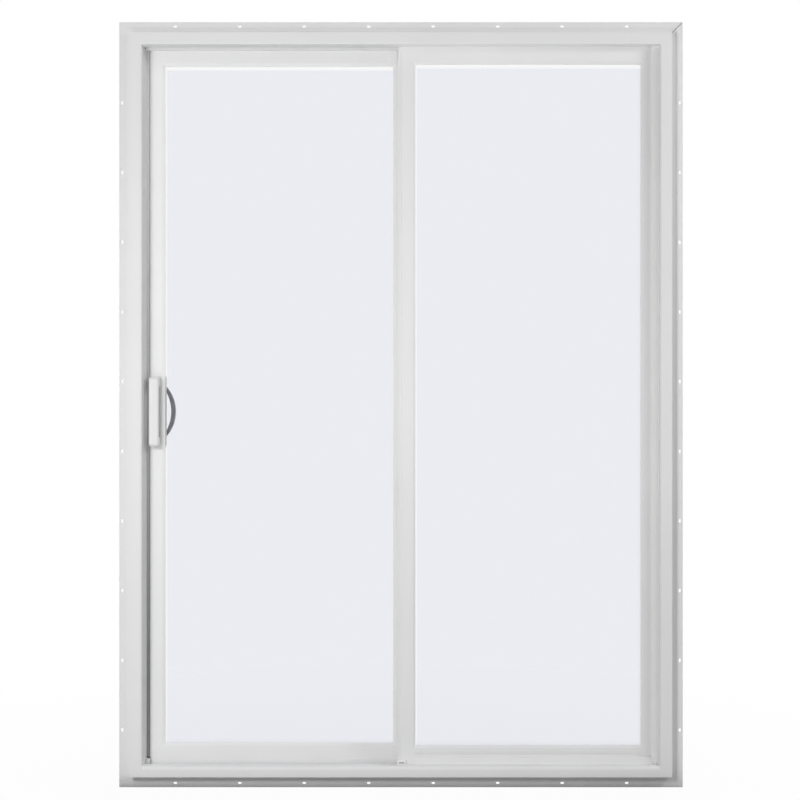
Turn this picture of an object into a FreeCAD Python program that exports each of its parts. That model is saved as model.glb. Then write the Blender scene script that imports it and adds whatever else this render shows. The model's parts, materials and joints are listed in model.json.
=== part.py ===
import FreeCAD
import Part
import Sketcher

import os
import re

# A two-panel sliding patio door in white vinyl.
# X runs along the wall, Y from outdoors to the room, Z up.
# The origin is on the back of the bottom nail fin, in the middle of its length and height.

DRIVING = (
    # frame
    ("frame_width", 1470, "outside width of the frame, without the fins"),
    ("frame_height", 2020, "outside height of the frame, without the fins"),
    ("frame_depth", 134, "outdoor face to room face"),
    ("nose_depth", 32, "outdoor face to the back of the nail fin"),
    ("jamb_face", 32, "width of a jamb seen from outdoors"),
    ("head_face", 33, "height of the head seen from outdoors"),
    ("head_web", 6, "thickness of the head above its channels"),
    ("room_leg", 10.5, "depth of the leg behind the sliding panel"),
    ("nose_edge", 3, "easing of the outdoor edges of head and jambs"),
    ("sill_nose", 30.5, "height of the sill at its outdoor nose"),
    ("sill_round", 10.5, "rounding of the sill's nose"),
    ("sill_floor", 6, "thickness of the sill under its channels"),
    ("sill_rib", 15, "height of the rib between the two channels of the sill"),
    ("sill_upstand", 35, "height of the sill at the room side"),
    ("inner_leg", 20, "how far the room-side leg of a jamb covers the opening"),
    ("jamb_pocket", 8, "depth of the pocket that takes the fixed panel"),
    # nail fin
    ("fin_width", 34, "width of a nail fin"),
    ("fin_thick", 2, "thickness of a nail fin"),
    ("fin_slit", 0.2, "slit between two fins at a corner"),
    ("slot_length", 10, "length of a nail slot"),
    ("slot_width", 6, "width of a nail slot"),
    ("slot_pitch", 176, "pitch of the slots of head and sill"),
    ("slot_count", 8, "slots of head and sill"),
    ("side_pitch", 190.2, "pitch of the slots of the jambs"),
    ("side_count", 10, "slots of the jambs"),
    ("side_first", 156, "bottom edge of the fins to the first slot of a jamb"),
    ("side_slot_bevel", 1.8, "cut corner of a jamb's slot"),
    ("slot_edge", 11.5, "slot centre to the outer edge of the head's or sill's fin"),
    ("side_slot_edge", 8, "slot centre to the outer edge of a jamb's fin"),
    # fits
    ("seat_gap", 0.3, "clearance where a piece is seated"),
    ("run_gap", 5.5, "clearance beside and under the sliding panel"),
    ("lift_gap", 11, "room above the sliding panel to lift it out"),
    ("head_play", 4, "room above the fixed panel"),
    ("edge_gap", 6.5, "sliding panel to the lock jamb, closed"),
    ("round_rest", 0.01, "flat left where two roundings almost meet"),
    ("panel_spacing", 20, "clear depth between the two panels"),
    ("meeting_overlap", 31, "overlap of the two meeting stiles"),
    # panels
    ("panel_depth", 34, "thickness of a panel"),
    ("fixed_panel_width", 717.7, "width of the fixed panel"),
    ("lock_stile", 44.5, "width of the stile with the handle"),
    ("slider_meeting_stile", 46, "width of the sliding panel's meeting stile"),
    ("fixed_meeting_stile", 46.6, "width of the fixed panel's meeting stile"),
    ("fixed_jamb_stile", 55.7, "width of the stile in the jamb's pocket"),
    ("slider_top_rail", 57, "height of the sliding panel's top rail"),
    ("slider_bottom_rail", 62.5, "height of the sliding panel's bottom rail"),
    ("fixed_top_rail", 70, "height of the fixed panel's top rail"),
    ("fixed_bottom_rail", 73.7, "height of the fixed panel's bottom rail"),
    ("stile_round", 10, "rounding of the lock stile's outdoor edge"),
    ("step_width", 7, "width of the step on the fixed meeting stile"),
    ("step_depth", 2, "depth of that step"),
    ("groove_inset", 17, "glass edge to the shadow groove beside the stop strip"),
    ("groove_width", 11, "width of the shadow groove"),
    ("groove_depth", 3, "depth of the shadow groove"),
    # glazing
    ("lip", 7, "thickness of the lip outside the glass"),
    ("bevel_width", 7, "width of the bevel around the glass"),
    ("bevel_depth", 4, "depth of the bevel around the glass"),
    ("rebate", 15, "depth of the glazing rebate"),
    ("bite", 12, "how far the glass enters the rebate"),
    ("pane", 4, "thickness of a pane"),
    ("cavity", 13, "space between the two panes"),
    ("spacer_width", 7, "width of the spacer bar"),
    ("spacer_inset", 1.5, "edge of the glass to the spacer bar"),
    ("bead_slope", 4, "bevel of the glazing bead"),
    ("bead_set_back", 5, "glass edge of a stile or rail to the glazing bead"),
    # meeting interlock
    ("hook_wall", 1.5, "thickness of an interlock"),
    ("hook_gap", 5, "running clearance between the interlocks"),
    ("hook_lap", 3.5, "how far the two hooks pass each other"),
    ("hook_flange", 11, "width of the flange on the fixed stile"),
    ("slider_hook_flange", 30, "width of the flange on the sliding stile"),
    # track and rollers
    ("track_base", 14, "width of the roller track's foot"),
    ("track_foot", 1.5, "thickness of the roller track's foot"),
    ("track_width", 4, "thickness of the track's rail"),
    ("track_height", 10, "height of the track"),
    ("track_round", 1.8, "rounding of the track's top"),
    ("roller_groove", 22, "width of the groove under the bottom rail"),
    ("roller_groove_height", 40, "height of the groove under the bottom rail"),
    ("carriage_length", 120, "length of a roller carriage"),
    ("carriage_height", 28, "height of a roller carriage"),
    ("carriage_wall", 1.5, "sheet thickness of a roller carriage"),
    ("carriage_inset", 60, "end of the panel to a roller carriage"),
    ("wheel_radius", 14, "outer radius of a wheel's rims"),
    ("wheel_width", 9, "width of a wheel"),
    ("tread_radius", 11.9, "radius at the bottom of a wheel's V-shaped tread"),
    ("wheel_base", 64, "distance between the two wheels of a carriage"),
    ("axle_radius", 3, "radius of a wheel's axle"),
    # lock
    ("handle_drop", 19, "handle centre below the middle of the frame"),
    ("keeper_height", 160, "height of the keeper on the jamb"),
    ("keeper_width", 24, "width of the keeper"),
    ("keeper_thick", 1.5, "thickness of the keeper"),
    ("keeper_slot", 60, "height of the slot in the keeper"),
    ("keeper_slot_width", 9, "width of the slot in the keeper"),
    ("faceplate_height", 190, "height of the lock's face plate"),
    ("faceplate_width", 18, "width of the lock's face plate"),
    ("faceplate_thick", 2, "thickness of the lock's face plate"),
    # handles
    ("handle_height", 191, "height of the outdoor handle"),
    ("handle_width", 26, "width of the outdoor handle"),
    ("handle_inset", 6.5, "edge of the stile to the outdoor handle"),
    ("handle_reach", 47, "face of the stile to the front of the outdoor handle"),
    ("handle_plate", 5, "thickness of the outdoor plate"),
    ("handle_plate_rim", 3, "how far the outdoor plate shows beside the grip"),
    ("grip_thick", 14, "thickness of the grip"),
    ("grip_post", 26, "height of a post of the grip"),
    ("grip_round", 11, "rounding of the grip's outer corners"),
    ("grip_inner_round", 8, "rounding inside the grip"),
    ("grip_edge", 4, "rounding of the grip's outer edges"),
    ("grip_inner_edge", 1.5, "bevel of the edges inside the grip"),
    ("room_plate_height", 205, "height of the room-side plate"),
    ("room_plate_width", 22, "width of the room-side plate"),
    ("room_plate_thick", 8, "thickness of the room-side plate"),
    ("room_plate_inset", 1.5, "glass edge of the stile to the room-side plate"),
    ("room_plate_round", 10, "rounding of the room-side plate's corners"),
    ("pull_half", 82, "half the length of the room-side pull"),
    ("pull_bow", 38, "bow of the pull's outer edge"),
    ("pull_reach", 19, "pull beyond the glass edge of the stile"),
    ("pull_middle", 12, "width of the pull in the middle"),
    ("pull_tip", 8, "width of the pull at its ends"),
    ("pull_thick", 11, "thickness of the pull"),
    ("pull_stand_off", 26, "room-side plate to the pull"),
    ("pull_post_radius", 5.5, "radius of a post of the pull"),
    ("pull_post_inset", 10, "end of the pull to a post"),
    ("pull_post_shift", 0.5, "post off the middle of the pull's width"),
    ("latch_radius", 8, "radius of the thumb latch"),
    ("latch_thick", 6, "thickness of the latch's hub"),
    ("latch_length", 24, "length of the latch's lever"),
    ("latch_width", 8, "width of the latch's lever"),
    ("latch_rise", 10, "height of the latch's lever above the plate"),
    # small pieces
    ("cover_length", 91, "length of the roller adjuster's cover"),
    ("cover_height", 14, "height of the roller adjuster's cover"),
    ("cover_thick", 1.5, "thickness of the roller adjuster's cover"),
    ("cover_inset", 98, "end of the sliding panel to the cover"),
    ("cover_rise", 6.6, "bottom of the sliding panel to the cover"),
    ("stop_height", 19, "height of the strip that stops the fixed panel"),
    ("stop_thick", 7, "thickness of that strip"),
    ("stop_round", 4, "rounding of that strip"),
    ("stop_width", 14, "width of the strip beside the fixed jamb"),
    ("stop_line", 4.5, "width of the shadow line between that strip and the jamb"),
    ("stop_line_depth", 2, "depth of that shadow line"),
    ("plug_width", 11, "width of the sill rib's end plug"),
    ("plug_height", 20, "height of the sill rib's end plug"),
    ("plug_round", 5, "rounding of the sill rib's end plug"),
)

# Places worked out from those sizes.
FRAME_SIDE = "(frame_width / 2)"
FIN_SIDE = f"({FRAME_SIDE} + fin_width)"
WALL = f"({FRAME_SIDE} - jamb_face)"
FRAME_BOTTOM = "(fin_width / 2)"
FIN_BOTTOM = "(-fin_width / 2)"
FRAME_TOP = f"({FRAME_BOTTOM} + frame_height)"
FIN_TOP = f"({FRAME_TOP} + fin_width)"
SOFFIT = f"({FRAME_TOP} - head_face)"
CEILING = f"({FRAME_TOP} - head_web)"
SILL_FLOOR = f"({FRAME_BOTTOM} + sill_floor)"
NOSE_TOP = f"({FRAME_BOTTOM} + sill_nose)"
RIB_TOP = f"({FRAME_BOTTOM} + sill_rib)"
UPSTAND_TOP = f"({FRAME_BOTTOM} + sill_upstand)"

FRONT = "(-nose_depth)"
BACK = "(frame_depth - nose_depth)"
LEG_FRONT = f"({BACK} - room_leg)"
SLIDER_BACK = f"({LEG_FRONT} - run_gap)"
SLIDER_MIDDLE = f"({SLIDER_BACK} - panel_depth / 2)"
SLIDER_FRONT = f"({SLIDER_BACK} - panel_depth)"
RIB_BACK = f"({SLIDER_FRONT} - run_gap)"
FIXED_BACK = f"({SLIDER_FRONT} - panel_spacing)"
RIB_FRONT = f"({FIXED_BACK} + seat_gap)"
FIXED_FRONT = f"({FIXED_BACK} - panel_depth)"
LEG_BACK = f"({FIXED_FRONT} - seat_gap)"

FIXED_RIGHT = f"({WALL} + jamb_pocket - seat_gap)"
FIXED_LEFT = f"({FIXED_RIGHT} - fixed_panel_width)"
FIXED_BOTTOM = f"({SILL_FLOOR} + seat_gap)"
FIXED_TOP = f"({CEILING} - head_play)"
SLIDER_LEFT = f"(edge_gap - {WALL})"
SLIDER_RIGHT = f"({FIXED_LEFT} + meeting_overlap)"
SLIDER_BOTTOM = f"({SILL_FLOOR} + run_gap)"
SLIDER_TOP = f"({CEILING} - lift_gap)"

HANDLE_HEIGHT = f"({FRAME_BOTTOM} + frame_height / 2 - handle_drop)"
TRACK_TOP = f"({SILL_FLOOR} + track_height)"
WHEEL_AXIS = f"({TRACK_TOP} + 2 * seat_gap + tread_radius)"
GROOVE_TOP = f"({SLIDER_BOTTOM} + roller_groove_height)"

doc = FreeCAD.newDocument("patio_door")
sheet = doc.addObject("Spreadsheet::Sheet", "sizes")
for row, (alias, size, meaning) in enumerate(DRIVING, 1):
    sheet.set(f"A{row}", meaning)
    sheet.set(f"B{row}", str(size))
    sheet.setAlias(f"B{row}", alias)
doc.recompute()
ALIASES = {alias for alias, size, meaning in DRIVING}
NODES = []

# How close a place or a direction must be to count as met.
TOUCH = 0.01

# The least volume that a pocket takes away, in cubic millimetres.
LEAST_CUT = 1


def value(expression):
    """The number that an expression of sizes stands for."""
    return float(sheet.evalExpression(expression))


def bound(expression):
    """The same expression as another object of the document reads it."""
    return re.sub(r"[a-z_]+", lambda word: ("sizes." if word[0] in ALIASES else "") + word[0], expression)


def bind(thing, **properties):
    """Ties properties of an object to the sheet; x, y and z are its place."""
    for name, expression in properties.items():
        path = f"Placement.Base.{name}" if name in "xyz" else name
        thing.setExpression(path, bound(expression))
    return thing


def node(thing, name):
    """Makes an object one of the pieces that are written out."""
    thing.Label = name
    NODES.append(thing)
    return thing


def span(middle, size):
    """Both ends of a size that is centred on a place."""
    return f"({middle} - {size} / 2)", f"({middle} + {size} / 2)"


def box(name, *spans):
    """A block between two places on each axis."""
    block = doc.addObject("Part::Box", name)
    for side, axis, (low, high) in zip(("Length", "Width", "Height"), "xyz", spans):
        bind(block, **{side: f"({high}) - ({low})", axis: low})
    return block


def cylinder_along_y(name, radius, length, x, y, z):
    """A round bar that starts at y and runs towards the room."""
    bar = doc.addObject("Part::Cylinder", name)
    bar.Placement.Rotation = FreeCAD.Rotation(FreeCAD.Vector(1, 0, 0), -90)
    return bind(bar, Radius=radius, Height=length, x=x, y=y, z=z)


def cone_along_y(name, first_radius, last_radius, length, x, y, z):
    """A tapered bar that starts at y and runs towards the room."""
    bar = doc.addObject("Part::Cone", name)
    bar.Placement.Rotation = FreeCAD.Rotation(FreeCAD.Vector(1, 0, 0), -90)
    return bind(bar, Radius1=first_radius, Radius2=last_radius, Height=length, x=x, y=y, z=z)


def cut(name, base, tool):
    result = doc.addObject("Part::Cut", name)
    result.Base = base
    result.Tool = tool
    return result


def fuse(name, *pieces):
    result = doc.addObject("Part::MultiFuse", name)
    result.Shapes = list(pieces)
    result.Refine = True
    return result


def group(name, pieces):
    """Like pieces that don't touch, kept as one node."""
    result = doc.addObject("Part::Compound", name)
    result.Links = pieces
    return result


def body(name):
    return doc.addObject("PartDesign::Body", name)


def sketch_on(owner, plane, level):
    """An empty sketch parallel to an origin plane, at a level along that plane's normal."""
    sketch = owner.newObject("Sketcher::SketchObject", "outline")
    support = next(item for item in owner.Origin.OriginFeatures if item.Role == plane)
    sketch.AttachmentSupport = [(support, "")]
    sketch.MapMode = "FlatFace"
    sketch.setExpression("AttachmentOffset.Base.z", bound(level))
    return sketch


def tie(sketch, kind, corner, expression):
    """Holds a corner at a distance from the sketch's origin."""
    index = sketch.addConstraint(Sketcher.Constraint(kind, -1, 1, corner, 1, value(expression)))
    sketch.setExpression(f"Constraints[{index}]", bound(expression))


def outline(owner, plane, level, corners):
    """A closed outline whose every corner is tied to the sheet."""
    sketch = sketch_on(owner, plane, level)
    places = [FreeCAD.Vector(value(across), value(up), 0) for across, up in corners]
    count = len(places)
    for index in range(count):
        sketch.addGeometry(Part.LineSegment(places[index], places[(index + 1) % count]), False)
    for index in range(count):
        sketch.addConstraint(Sketcher.Constraint("Coincident", index, 2, (index + 1) % count, 1))
    for index, (across, up) in enumerate(corners):
        tie(sketch, "DistanceX", index, across)
        tie(sketch, "DistanceY", index, up)
    return sketch


def rectangle(left, right, low, high):
    return [(left, low), (right, low), (right, high), (left, high)]


def pad(owner, sketch, length, towards_normal=True):
    feature = owner.newObject("PartDesign::Pad", "pad")
    feature.Profile = sketch
    feature.Reversed = not towards_normal
    feature.setExpression("Length", bound(length))
    return feature


def pocket(owner, sketch, length, taper=None, against_normal=True):
    """Cuts a sketch into the body and makes sure that it took something away."""
    doc.recompute()
    before = owner.Shape.Volume
    feature = owner.newObject("PartDesign::Pocket", "pocket")
    feature.Profile = sketch
    feature.Reversed = not against_normal
    feature.setExpression("Length", bound(length))
    if taper:
        feature.setExpression("TaperAngle", bound(taper))
    doc.recompute()
    if owner.Shape.Volume > before - LEAST_CUT:
        raise RuntimeError(f"{owner.Name}: a pocket cuts nothing")
    return feature


def ease_edges(owner, size, wanted, bevelled=False):
    """Rounds or bevels the edges whose middle and direction pass a test."""
    doc.recompute()
    base = owner.Tip
    names = []
    for index, edge in enumerate(base.Shape.Edges, 1):
        middle = edge.valueAt((edge.FirstParameter + edge.LastParameter) / 2)
        if wanted(middle, edge.tangentAt(edge.FirstParameter)):
            names.append(f"Edge{index}")
    if not names:
        raise RuntimeError(f"{owner.Name}: no edge to ease")
    feature = owner.newObject("PartDesign::Chamfer" if bevelled else "PartDesign::Fillet", "eased")
    feature.Base = (base, names)
    feature.setExpression("Size" if bevelled else "Radius", bound(size))
    return feature


def near(number, expression):
    return abs(number - value(expression)) < TOUCH


def runs_along(way, axis):
    return abs(getattr(way, axis)) > 1 - TOUCH


def bar_along_x(name, left, right, corners):
    """An extrusion along the wall; its section is given as depth and height."""
    owner = body(name)
    pad(owner, outline(owner, "YZ_Plane", left, corners), f"({right}) - ({left})")
    return owner


def bar_along_z(name, low, high, corners):
    """An upright extrusion; its section is given as width and depth."""
    owner = body(name)
    pad(owner, outline(owner, "XY_Plane", low, corners), f"({high}) - ({low})")
    return owner


def build_head():
    """The head has one channel for each panel, open below."""
    head = bar_along_x("head", f"-{WALL}", WALL, [
        (FRONT, FRAME_TOP), (FRONT, SOFFIT), (LEG_BACK, SOFFIT), (LEG_BACK, CEILING),
        (RIB_FRONT, CEILING), (RIB_FRONT, SOFFIT), (RIB_BACK, SOFFIT), (RIB_BACK, CEILING),
        (LEG_FRONT, CEILING), (LEG_FRONT, SOFFIT), (BACK, SOFFIT), (BACK, FRAME_TOP)])
    ease_edges(head, "nose_edge", lambda at, way: near(at.y, FRONT) and near(at.z, SOFFIT))
    node(head, "head")


def build_sill():
    """The sill has a rounded nose outdoors, two channels and an upstand at the room side."""
    sill = bar_along_x("sill", f"-{WALL}", WALL, [
        (FRONT, FRAME_BOTTOM), (BACK, FRAME_BOTTOM), (BACK, UPSTAND_TOP), (LEG_FRONT, UPSTAND_TOP),
        (LEG_FRONT, SILL_FLOOR), (RIB_BACK, SILL_FLOOR), (RIB_BACK, RIB_TOP), (RIB_FRONT, RIB_TOP),
        (RIB_FRONT, SILL_FLOOR), (LEG_BACK, SILL_FLOOR), (LEG_BACK, NOSE_TOP), (FRONT, NOSE_TOP)])
    ease_edges(sill, "sill_round", lambda at, way: near(at.y, FRONT) and near(at.z, NOSE_TOP))
    node(sill, "sill")


def build_jamb(name, side):
    """A jamb runs the full height; side is a minus sign for the lock jamb, empty for the other."""
    wall = f"{side}{WALL}"
    outer = f"{side}{FRAME_SIDE}"
    leg_edge = f"{side}({WALL} - inner_leg)"
    jamb = bar_along_z(name, FRAME_BOTTOM, FRAME_TOP, rectangle(wall, outer, FRONT, BACK))
    leg = outline(jamb, "XY_Plane", UPSTAND_TOP, rectangle(leg_edge, wall, LEG_FRONT, BACK))
    pad(jamb, leg, f"{SOFFIT} - {UPSTAND_TOP}")
    edge = [(wall, FRONT), (f"{side}({WALL} + nose_edge)", FRONT), (wall, f"{FRONT} + nose_edge")]
    bevel = outline(jamb, "XY_Plane", NOSE_TOP, edge)
    pocket(jamb, bevel, f"{SOFFIT} - {NOSE_TOP}", against_normal=False)
    return jamb


def build_jambs():
    node(build_jamb("lock_jamb", "-"), "lock_jamb")
    fixed_jamb = build_jamb("fixed_jamb", "")
    seat = rectangle(WALL, f"{WALL} + jamb_pocket", LEG_BACK, RIB_FRONT)
    level = outline(fixed_jamb, "XY_Plane", SILL_FLOOR, seat)
    pocket(fixed_jamb, level, f"{CEILING} - {SILL_FLOOR}", against_normal=False)
    node(fixed_jamb, "fixed_jamb")


def slot_row(owner, along_x, across, count, pitch, first):
    """A row of nail slots through a fin, round-ended along X, plain with cut corners along Z."""
    for index in range(int(value(count))):
        along = f"({first} + {index} * {pitch})"
        long_side, short_side = span(along, "slot_length"), span(across, "slot_width")
        corners = rectangle(*long_side, *short_side) if along_x else rectangle(*short_side, *long_side)
        pocket(owner, outline(owner, "XZ_Plane", "fin_thick", corners), "fin_thick")
    size = "slot_width / 2 - round_rest" if along_x else "side_slot_bevel"
    ease_edges(owner, size, lambda at, way: is_slot_corner(at, way, owner), bevelled=not along_x)


def is_slot_corner(at, way, owner):
    """A slot's corners are the edges through the fin that aren't corners of the fin itself."""
    limits = owner.Shape.BoundBox
    margin = value("fin_slit")
    inside_x = limits.XMin + margin < at.x < limits.XMax - margin
    inside_z = limits.ZMin + margin < at.z < limits.ZMax - margin
    return runs_along(way, "y") and inside_x and inside_z


def build_fins():
    """Four strips around the frame, mitred at the corners."""
    slit = "fin_slit / 2"
    inner_x = f"({FRAME_SIDE} - {slit})"
    outer_x = f"({FIN_SIDE} - {slit})"
    first_x = "(-(slot_count - 1) * slot_pitch / 2)"
    first_z = f"({FIN_BOTTOM} + side_first)"
    for name, edge_z, frame_z, row_z in (
            ("sill_nail_fin", FIN_BOTTOM, FRAME_BOTTOM, f"({FIN_BOTTOM} + slot_edge)"),
            ("head_nail_fin", FIN_TOP, FRAME_TOP, f"({FIN_TOP} - slot_edge)")):
        fin = body(name)
        corners = [(f"-{outer_x}", edge_z), (outer_x, edge_z), (inner_x, frame_z), (f"-{inner_x}", frame_z)]
        pad(fin, outline(fin, "XZ_Plane", "0", corners), "fin_thick")
        slot_row(fin, True, row_z, "slot_count", "slot_pitch", first_x)
        node(fin, name)
    for name, side in (("lock_side_nail_fin", "-"), ("fixed_side_nail_fin", "")):
        fin = body(name)
        outer, inner = f"{side}{FIN_SIDE}", f"{side}{FRAME_SIDE}"
        corners = [(outer, f"{FIN_BOTTOM} + {slit}"), (outer, f"{FIN_TOP} - {slit}"),
                   (inner, f"{FRAME_TOP} - {slit}"), (inner, f"{FRAME_BOTTOM} + {slit}")]
        pad(fin, outline(fin, "XZ_Plane", "0", corners), "fin_thick")
        slot_row(fin, False, f"{side}({FIN_SIDE} - side_slot_edge)", "side_count", "side_pitch", first_z)
        node(fin, name)


class Panel:
    """The outline of a glazed panel and of its daylight opening."""

    def __init__(self, name, left, right, low, high, front, left_stile, right_stile, profiled=False):
        self.name = name
        self.left, self.right, self.low, self.high = left, right, low, high
        self.front = front
        self.back = f"({front} + panel_depth)"
        self.light_left = f"({left} + {left_stile})"
        self.light_right = f"({right} - {right_stile})"
        self.light_low = f"({low} + {name}_bottom_rail)"
        self.light_high = f"({high} - {name}_top_rail)"
        self.profiled = profiled

    def light(self, margin):
        """The daylight opening, grown by a margin on every side."""
        return rectangle(f"{self.light_left} - {margin}", f"{self.light_right} + {margin}",
                         f"{self.light_low} - {margin}", f"{self.light_high} + {margin}")

    def glaze(self, member):
        """Cuts the rebate for the glass and the bevel around it out of a stile or rail."""
        seat = outline(member, "XZ_Plane", f"-({self.front} + lip)", self.light("rebate"))
        pocket(member, seat, "panel_depth - lip")
        edge = outline(member, "XZ_Plane", f"-{self.front}", self.light("bevel_width"))
        pocket(member, edge, "bevel_depth", taper="-atan(bevel_width / bevel_depth)")

    def shadow_groove(self, edge, sign):
        """Places and depths of a groove in the face that slopes in, away from the glass."""
        start = f"({edge} {sign} groove_inset)"
        end = f"({start} {sign} groove_width)"
        return [(start, self.front), (end, f"({self.front} + groove_depth)"), (end, self.front)]


def build_stiles(panel, left_name, right_name):
    """Stiles run the full height of the panel."""
    left_section = rectangle(panel.left, panel.light_left, panel.front, panel.back)
    right_section = rectangle(panel.light_right, panel.right, panel.front, panel.back)
    if panel.profiled:
        stepped = f"{panel.front} + step_depth"
        left_section[:1] = [(panel.left, stepped), (f"{panel.left} + step_width", stepped),
                            (f"{panel.left} + step_width + step_depth", panel.front)]
        right_section[1:1] = panel.shadow_groove(panel.light_right, "+")
    left = bar_along_z(left_name, panel.low, panel.high, left_section)
    right = bar_along_z(right_name, panel.low, panel.high, right_section)
    panel.glaze(left)
    panel.glaze(right)
    node(left, left_name)
    node(right, right_name)
    return left, right


def build_rails(panel):
    """Rails fit between the stiles."""
    rails = []
    for place, low, high in (("top", panel.light_high, panel.high), ("bottom", panel.low, panel.light_low)):
        name = f"{panel.name}_{place}_rail"
        section = rectangle(panel.front, panel.back, low, high)
        if panel.profiled and place == "bottom":
            section += [(depth, height) for height, depth in panel.shadow_groove(high, "-")]
        rail = bar_along_x(f"{name}_bar", panel.light_left, panel.light_right, section)
        panel.glaze(rail)
        node(rail, name)
        rails.append(rail)
    return rails


def build_glass(panel):
    """Two panes with a bar between them make the sealed unit."""
    left, right = f"({panel.light_left} - bite)", f"({panel.light_right} + bite)"
    low, high = f"({panel.light_low} - bite)", f"({panel.light_high} + bite)"
    outer_front = f"({panel.front} + lip + seat_gap)"
    outer_back = f"({outer_front} + pane)"
    inner_front = f"({outer_back} + cavity)"
    inner_back = f"({inner_front} + pane)"
    for place, depths in (("outer", (outer_front, outer_back)), ("inner", (inner_front, inner_back))):
        name = f"{panel.name}_{place}_pane"
        node(box(name, (left, right), depths, (low, high)), name)
    rings = []
    for margin in ("spacer_inset", "(spacer_inset + spacer_width)"):
        rings.append(box("spacer_block", (f"{left} + {margin}", f"{right} - {margin}"),
                         (outer_back, inner_front), (f"{low} + {margin}", f"{high} - {margin}")))
    node(cut("spacer", *rings), f"{panel.name}_spacer")


def build_beads(panel):
    """Four snap-in strips hold the glass from the room side."""
    face = f"({panel.front} + lip + 2 * seat_gap + 2 * pane + cavity)"
    slope = f"({panel.back} - bead_slope)"
    width = "(rebate - seat_gap)"
    left, right = f"({panel.light_left} - {width})", f"({panel.light_right} + {width})"
    low = f"({panel.light_low} - bead_set_back + seat_gap)"
    high = f"({panel.light_high} + bead_set_back - seat_gap)"
    pieces = []
    for light, sign in ((panel.light_low, "-"), (panel.light_high, "+")):
        edge, far = f"({light} {sign} bead_set_back)", f"({light} {sign} {width})"
        eased = f"({edge} {sign} bead_slope)"
        section = [(face, edge), (face, far), (panel.back, far), (panel.back, eased), (slope, edge)]
        pieces.append(bar_along_x("bead", left, right, section))
    for light, sign in ((panel.light_left, "-"), (panel.light_right, "+")):
        edge, far = f"({light} {sign} bead_set_back)", f"({light} {sign} {width})"
        eased = f"({edge} {sign} bead_slope)"
        section = [(edge, face), (far, face), (far, panel.back), (eased, panel.back), (edge, slope)]
        pieces.append(bar_along_z("bead", low, high, section))
    node(group("beads", pieces), f"{panel.name}_glazing_beads")


def build_fixed_panel():
    panel = Panel("fixed", FIXED_LEFT, FIXED_RIGHT, FIXED_BOTTOM, FIXED_TOP, FIXED_FRONT,
                  "fixed_meeting_stile", "fixed_jamb_stile", profiled=True)
    build_stiles(panel, "fixed_panel_meeting_stile", "fixed_panel_jamb_stile")
    build_rails(panel)
    build_glass(panel)
    build_beads(panel)
    return panel


def build_slider():
    panel = Panel("slider", SLIDER_LEFT, SLIDER_RIGHT, SLIDER_BOTTOM, SLIDER_TOP, SLIDER_FRONT,
                  "lock_stile", "slider_meeting_stile")
    lock_stile, meeting_stile = build_stiles(panel, "slider_lock_stile", "slider_panel_meeting_stile")
    ease_edges(lock_stile, "stile_round",
               lambda at, way: near(at.y, SLIDER_FRONT) and near(at.x, SLIDER_LEFT))
    seat = rectangle(*span(SLIDER_MIDDLE, "(faceplate_width + 2 * seat_gap)"),
                     *span(HANDLE_HEIGHT, "(faceplate_height + 2 * seat_gap)"))
    seat_outline = outline(lock_stile, "YZ_Plane", SLIDER_LEFT, seat)
    pocket(lock_stile, seat_outline, "faceplate_thick", against_normal=False)
    top_rail, bottom_rail = build_rails(panel)
    cut_groove(bottom_rail, panel.light_left, panel.light_right, GROOVE_TOP)
    notch_top = f"({TRACK_TOP} + run_gap)"
    cut_groove(lock_stile, panel.left, panel.light_left, notch_top)
    cut_groove(meeting_stile, panel.light_right, panel.right, notch_top)
    build_glass(panel)
    build_beads(panel)
    return panel


def cut_groove(member, left, right, top):
    """Clears the track under a stile or rail of the sliding panel."""
    groove = rectangle(*span(SLIDER_MIDDLE, "roller_groove"), SLIDER_BOTTOM, top)
    pocket(member, outline(member, "YZ_Plane", left, groove), f"{right} - {left}", against_normal=False)


def build_interlocks():
    """Two hooks that meet behind the meeting stiles when the door is shut, between the ribs."""
    leg = f"({FIXED_LEFT} + hook_flange)"
    slider_tip = f"({FIXED_BACK} + hook_gap)"
    fixed_tip = f"({slider_tip} + hook_wall + hook_gap)"
    fixed_end = f"({leg} + hook_wall + hook_gap + hook_lap)"
    fixed_hook = bar_along_z("fixed_hook", f"({RIB_TOP} + seat_gap)", f"({SOFFIT} - seat_gap)", [
        (FIXED_LEFT, FIXED_BACK), (f"{leg} + hook_wall", FIXED_BACK), (f"{leg} + hook_wall", fixed_tip),
        (fixed_end, fixed_tip), (fixed_end, f"{fixed_tip} + hook_wall"), (leg, f"{fixed_tip} + hook_wall"),
        (leg, f"{FIXED_BACK} + hook_wall"), (FIXED_LEFT, f"{FIXED_BACK} + hook_wall")])
    node(fixed_hook, "fixed_interlock")
    slider_end = f"({leg} + hook_wall + hook_gap)"
    inside = f"({SLIDER_RIGHT} - hook_wall)"
    flange_end = f"({SLIDER_RIGHT} - slider_hook_flange)"
    slider_hook = bar_along_z("slider_hook", f"({RIB_TOP} + run_gap)", f"({SOFFIT} - run_gap)", [
        (SLIDER_RIGHT, SLIDER_FRONT), (flange_end, SLIDER_FRONT), (flange_end, f"{SLIDER_FRONT} - hook_wall"),
        (inside, f"{SLIDER_FRONT} - hook_wall"), (inside, f"{slider_tip} + hook_wall"),
        (slider_end, f"{slider_tip} + hook_wall"), (slider_end, slider_tip), (SLIDER_RIGHT, slider_tip)])
    node(slider_hook, "slider_interlock")


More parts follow.
